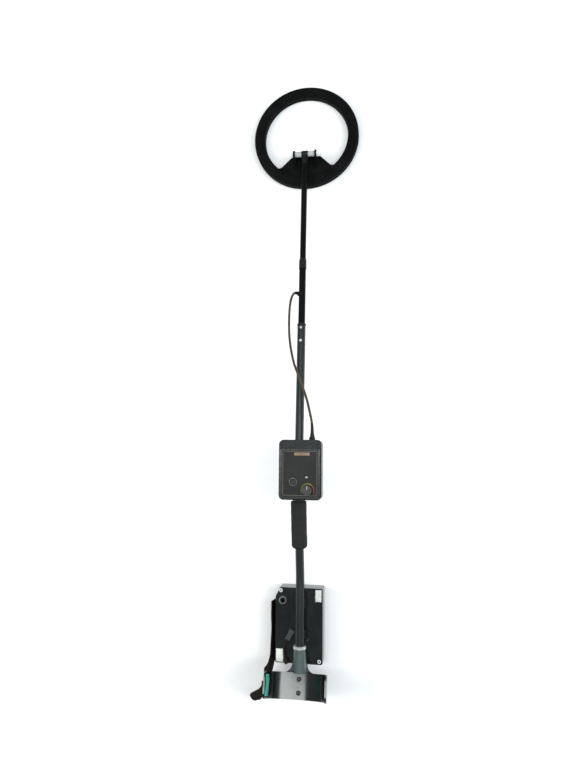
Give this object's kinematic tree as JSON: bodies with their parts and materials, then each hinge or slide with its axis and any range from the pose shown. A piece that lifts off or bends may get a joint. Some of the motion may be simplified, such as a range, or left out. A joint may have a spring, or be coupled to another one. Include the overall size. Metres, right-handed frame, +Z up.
{
  "type": "metal detector",
  "caption": "Round-coil metal detector with a telescoping shaft, tilting coil, control box, rear battery box and arm cuff.",
  "frame": {"origin": "on the underside of the rear box, where it rests on the ground, straight below the shaft's axis", "axes": "+Z up from the ground; +Y forward along the shaft to the search coil; +X to the right of the user"},
  "size_m": [0.238, 1.346, 0.1454],
  "materials": {
    "black_tube": "satin black carbon-look tube",
    "upper_tube": "satin dark paint on aluminium tube",
    "tube_end_plug": "moulded black plastic",
    "tube_mouth_bush": "moulded black plastic",
    "steel": "zinc-plated steel",
    "grommet": "black rubber",
    "shaft_fittings": "moulded black nylon",
    "pivot_spacers": "grey rubber",
    "foam": "closed-cell foam, fine pores",
    "coil_shell": "moulded black ABS, fine texture",
    "winding": "varnished copper wire",
    "coil_cable_gland": "moulded black nylon",
    "white_nylon": "white nylon",
    "control_case": "semi-gloss moulded black ABS",
    "gaskets": "black rubber",
    "face_plate": "printed dark grey film",
    "circuit_boards": "green solder mask",
    "gain_potentiometer": "pressed metal can",
    "gain_knob": "ribbed black plastic, pale pointer",
    "power_key": "black silicone",
    "key_surround": "gloss black ring",
    "status_light": "clear epoxy lens",
    "saddles": "moulded black nylon",
    "box_cable_gland": "black nylon gland",
    "rear_case": "gloss moulded black ABS",
    "battery_holder": "moulded black plastic",
    "battery_cells": "plain metal sleeve",
    "sounder": "moulded black plastic",
    "headphone_socket": "black plastic, steel contacts",
    "headphone_socket_nut": "turned aluminium ring",
    "fastening_pads": "off-white hook-and-loop pad",
    "cuff": "gloss moulded black plastic",
    "cuff_ring": "pale metal clamp ring",
    "strap_web": "reddish-brown woven webbing",
    "strap_lining": "teal hook-and-loop strip",
    "cable": "brown-grey PVC sheath",
    "lead_fittings": "moulded grey plastic"
  },
  "bodies": {
    "shaft_frame": {"middle_tube": "black_tube", "upper_tube": "upper_tube", "tube_end_plug": "tube_end_plug", "tube_mouth_bush": "tube_mouth_bush", "tube_screw": "steel", "snap_button_spring": "steel", "tube_clamp_screws": "steel", "control_box_screws": "steel", "cuff_screws": "steel", "cable_grommet": "grommet", "rod_collet": "shaft_fittings", "hand_grip": "foam", "rear_box_screws": "white_nylon", "control_box_base": "control_case", "control_box_lid": "control_case", "control_box_gasket": "gaskets", "rear_box_gasket": "gaskets", "control_face_plate": "face_plate", "control_board": "circuit_boards", "main_board": "circuit_boards", "gain_potentiometer": "gain_potentiometer", "key_surround": "key_surround", "status_light": "status_light", "control_box_saddle": "saddles", "tube_clamps": "saddles", "rear_box_saddles": "saddles", "box_cable_gland": "box_cable_gland", "rear_box_base": "rear_case", "rear_box_lid": "rear_case", "battery_holder": "battery_holder", "battery_cells": "battery_cells", "sounder": "sounder", "headphone_socket": "headphone_socket", "headphone_socket_nut": "headphone_socket_nut", "fastening_pads": "fastening_pads", "cuff_shell": "cuff", "cuff_bracket": "cuff", "cuff_ring": "cuff_ring", "arm_strap": "strap_web", "strap_tail": "strap_web", "strap_lining": "strap_lining", "coil_cable": "cable", "power_lead": "cable", "lead_socket": "lead_fittings", "lead_plug": "lead_fittings", "lead_gland": "lead_fittings"},
    "lower_rod_assembly": {"lower_rod": "black_tube", "rod_tongue": "shaft_fittings", "pivot_spacers": "pivot_spacers"},
    "coil_head": {"coil_top_shell": "coil_shell", "coil_bottom_shell": "coil_shell", "search_winding": "winding", "coil_cable_gland": "coil_cable_gland", "pivot_bolt": "white_nylon"},
    "pivot_nut_body": {"pivot_nut": "white_nylon"},
    "lock_nut_body": {"lock_nut": "shaft_fittings"},
    "snap_button_body": {"snap_button": "steel"},
    "gain_knob_body": {"gain_knob": "gain_knob", "gain_pot_shaft": "steel"},
    "power_key_body": {"power_key": "power_key"}
  },
  "joints": [
    {"name": "rod_slide", "type": "slide", "parent": "shaft_frame", "child": "lower_rod_assembly", "axis": [0, 0.9967, -0.081], "range_m": [-0.06, 0.03]},
    {"name": "coil_tilt", "type": "hinge", "parent": "lower_rod_assembly", "child": "coil_head", "pos_m": [0, 1.01, 0.032], "axis": [1, 0, 0], "range_deg": [-6, 90]},
    {"name": "pivot_nut_turn", "type": "hinge", "parent": "coil_head", "child": "pivot_nut_body", "pos_m": [0, 1.01, 0.032], "axis": [1, 0, 0], "range_deg": [-30, 180]},
    {"name": "lock_nut_turn", "type": "hinge", "parent": "shaft_frame", "child": "lock_nut_body", "pos_m": [0, 0.745, 0.05355], "axis": [0, 0.9967, -0.081], "range_deg": [-120, 10]},
    {"name": "snap_button_press", "type": "slide", "parent": "shaft_frame", "child": "snap_button_body", "axis": [0, 0.081, 0.9967], "range_m": [-0.002, 0], "stiffness_N_per_m": 800, "springref_m": 0.001, "deforming": ["snap_button_spring"]},
    {"name": "gain_knob_turn", "type": "hinge", "parent": "shaft_frame", "child": "gain_knob_body", "pos_m": [0.024, 0.2745, 0.14], "axis": [0, 0, 1], "range_deg": [-150, 150]},
    {"name": "power_key_press", "type": "slide", "parent": "shaft_frame", "child": "power_key_body", "axis": [0, 0, 1], "range_m": [-0.0014, 0], "stiffness_N_per_m": 900, "springref_m": 0.0008}
  ]
}
